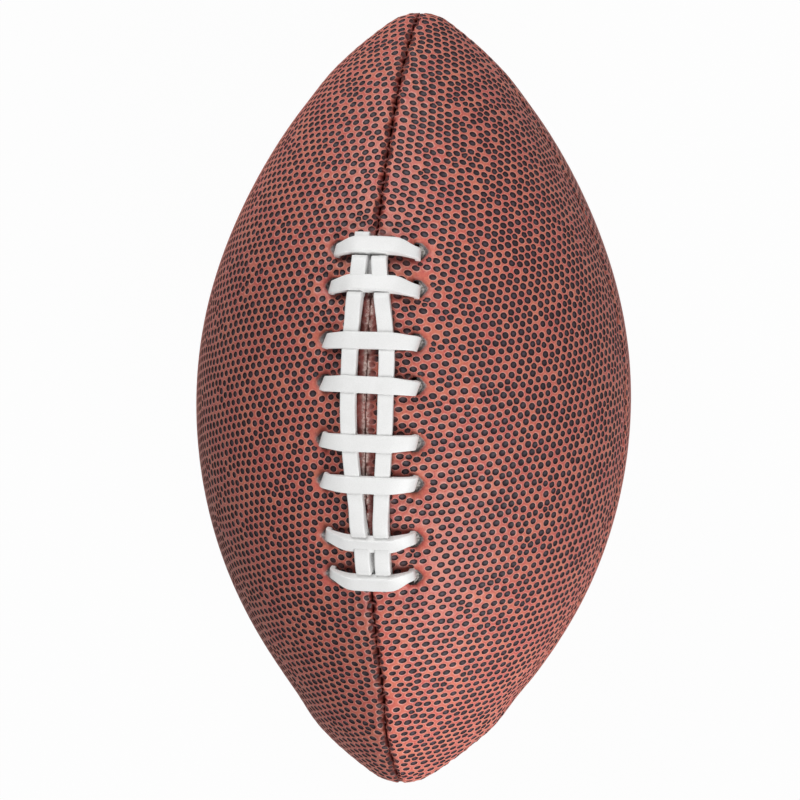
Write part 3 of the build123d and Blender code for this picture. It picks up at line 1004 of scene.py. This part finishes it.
for number, place in enumerate(bar_places):
    lace += cross_bar(place, bar_rolls[number], bar_pinches[number], bar_slants[number], rng)
    if number + 1 < len(bar_places):
        following = bar_places[number + 1]
        lace += inner_run(place, lace_reach(place) - foot_bend, following, foot_bend - lace_reach(following))
lace += inner_run(bar_places[-1], last_foot, bar_places[-1], last_foot - lace_tail)
bm = bmesh.new()
sweep(bm, lace_sides, lace_outline(lace_width, lace_thickness), path_frames(*zip(*lace)))
piece_of("cross_lace_bars", bm, lace_white, "lace_vinyl", "cross_lace")


def pressed(reach):
    """How far a bar presses a long run flat at a place, from 0 to 1."""
    return max(
        1 - float(smooth_step(abs(reach - place) - lace_width / 2, -0.0009, 0.0001)) for place in bar_places
    )


def climb(reach):
    """How much higher a long run stands where it meets the raised inner edge of a rolled bar."""
    rise = 0
    for place, roll in zip(bar_places, bar_rolls):
        from_edge = abs(reach - place + math.copysign(climb_place, place))
        near = 1 - float(smooth_step(from_edge, *climb_span))
        rise = max(rise, climb_share * lace_thickness * roll * near)
    return rise


climb_place = 0.0042
climb_span = (0.0008, 0.009)
climb_share = 2.4


def long_strip(bm, reaches, side_of, low, high, low_pressed, high_pressed, width):
    """A run of lace along the seam, between two heights over the cover, and two more under the bars."""
    points = []
    widths = []
    heights = []
    for reach in reaches:
        share = pressed(reach)
        bottom = low + (low_pressed - low) * share
        top = high + (high_pressed - high) * share + climb(reach) * (1 - share)
        point, across = long_point(reach, float(side_of(reach)), (bottom + top) / 2)
        points.append(point)
        widths.append(across)
        heights.append((top - bottom) / lace_thickness)
    sweep(bm, lace_sides, lace_outline(width, lace_thickness), path_frames(points, widths, heights))


def middle_side(reach):
    return (left_side(reach) + right_side(reach)) / 2


right_front = long_front - 0.0045
station_step = 0.0005
run_heights = (0.0008, 0.0037, 0.0003, 0.0011)
middle_strip_spans = ((0.0455, 0.059), (-0.059, -0.0475))
middle_strip_heights = (0.0002, 0.0009, 0.0002, 0.0009)
middle_strip_width = 0.0034
bm = bmesh.new()
for side_of, front_end in ((left_side, long_front), (right_side, right_front)):
    stations = np.arange(long_rear, front_end, station_step)
    long_strip(bm, stations, side_of, *run_heights, long_width)
# The short strips between the runs at each end take the lace in painted shade.
for span in middle_strip_spans:
    runs_end = len(bm.faces)
    long_strip(bm, np.linspace(*span, 12), middle_side, *middle_strip_heights, middle_strip_width)
    bm.faces.ensure_lookup_table()
    for face in bm.faces[runs_end:]:
        face.material_index = 1
long_lace = piece_of("long_lace_runs", bm, lace_white, "lace_vinyl", "long_lace")
long_lace.data.materials.append(lace_in_painted_shade)


# The floor: a plain white sweep, lit from above like a product table.
# It stays white to the camera and keeps a trace of the ball's shadow.
floor_size = 4.0
floor_grey = (0.5, 0.5, 0.5, 1)
floor_glow = 0.97


def seen_white(tree):
    """1 for what the camera sees, straight or through something clear, and 0 for other rays."""
    rays = add(tree, "LightPath").outputs
    straight = rays["Is Camera Ray"]
    through = rays["Is Transmission Ray"]
    return add(tree, "Math", {"operation": "MAXIMUM"}, _0=straight, _1=through).outputs[0]


def white_stage(name, strength):
    """White to the camera, a plain pale surface to everything else."""
    material = bpy.data.materials.new(name)
    material.use_nodes = True
    tree = material.node_tree
    tree.nodes.remove(tree.nodes["Principled BSDF"])
    paper = add(tree, "BsdfDiffuse", Color=floor_grey)
    glow = add(tree, "Emission", Color=(1, 1, 1, 1), Strength=1.0)
    share = add(tree, "Math", {"operation": "MULTIPLY"}, _0=seen_white(tree), _1=strength)
    blend = add(tree, "MixShader", _0=share.outputs[0], _1=paper.outputs[0], _2=glow.outputs[0])
    tree.links.new(blend.outputs[0], tree.nodes["Material Output"].inputs["Surface"])
    return material


bm = bmesh.new()
bmesh.ops.create_grid(bm, x_segments=1, y_segments=1, size=floor_size)
floor_mesh = bpy.data.meshes.new("floor")
bm.to_mesh(floor_mesh)
bm.free()
floor_mesh.materials.append(white_stage("floor paper", floor_glow))
floor = bpy.data.objects.new("floor", floor_mesh)
bpy.context.scene.collection.objects.link(floor)


# The light: a dim white room and two large soft lamps above the ball, one towards each tip.
# The camera sees the room as plain white, and the lamps bring out the round of the ball.
room_light = 0.135

world = bpy.data.worlds.new("studio")
bpy.context.scene.world = world
world.use_nodes = True
tree = world.node_tree
strength = add(tree, "MapRange", Value=seen_white(tree), To_Min=room_light, To_Max=1.0)
tree.links.new(strength.outputs[0], tree.nodes["Background"].inputs["Strength"])
tree.nodes["Background"].inputs["Color"].default_value = (1, 1, 1, 1)


def softbox(name, direction, distance, size, power):
    """A square lamp that faces the ball."""
    lamp = bpy.data.lights.new(name, "AREA")
    lamp.shape = "SQUARE"
    lamp.size = size
    lamp.energy = power
    thing = bpy.data.objects.new(name, lamp)
    bpy.context.scene.collection.objects.link(thing)
    aim = Vector(direction).normalized()
    thing.location = ball_centre + aim * distance
    thing.rotation_euler = aim.to_track_quat("Z", "Y").to_euler()


softbox("key", direction=(-0.75, -0.5, 0.74), distance=1.5, size=0.9, power=18.8)
softbox("fill", direction=(0.9, 0.2, 0.72), distance=1.5, size=0.9, power=14.8)


# The camera: above the ball, looking down at the lacing, with the ball's upper end a little nearer.
# It stands a little to the right of the lacing, and far enough off to keep the outline plain.
image_pixels = 800
pixel = 0.0003545
camera_turn = math.radians(12.5)
camera_pitch = math.radians(4.2)
camera_roll = math.radians(1.0)
camera_distance = 4.0
ball_pixel = (413.7, 398.5)

back = Vector(
    (
        math.sin(camera_pitch),
        -math.sin(camera_turn) * math.cos(camera_pitch),
        math.cos(camera_turn) * math.cos(camera_pitch),
    )
)
plain_up = (Vector((1, 0, 0)) - back * back.x).normalized()
plain_right = plain_up.cross(back)
up = plain_up * math.cos(camera_roll) - plain_right * math.sin(camera_roll)
right = plain_right * math.cos(camera_roll) + plain_up * math.sin(camera_roll)
aim = ball_centre - right * (ball_pixel[0] - image_pixels / 2) * pixel
aim = aim + up * (ball_pixel[1] - image_pixels / 2) * pixel
lens = bpy.data.cameras.new("camera")
lens.sensor_width = 36
lens.lens = lens.sensor_width * camera_distance / (image_pixels * pixel)
camera = bpy.data.objects.new("camera", lens)
bpy.context.scene.collection.objects.link(camera)
axes = Matrix((right, up, back)).transposed().to_4x4()
camera.matrix_world = Matrix.Translation(aim + back * camera_distance) @ axes
bpy.context.scene.camera = camera
bpy.context.scene.view_settings.view_transform = "Standard"
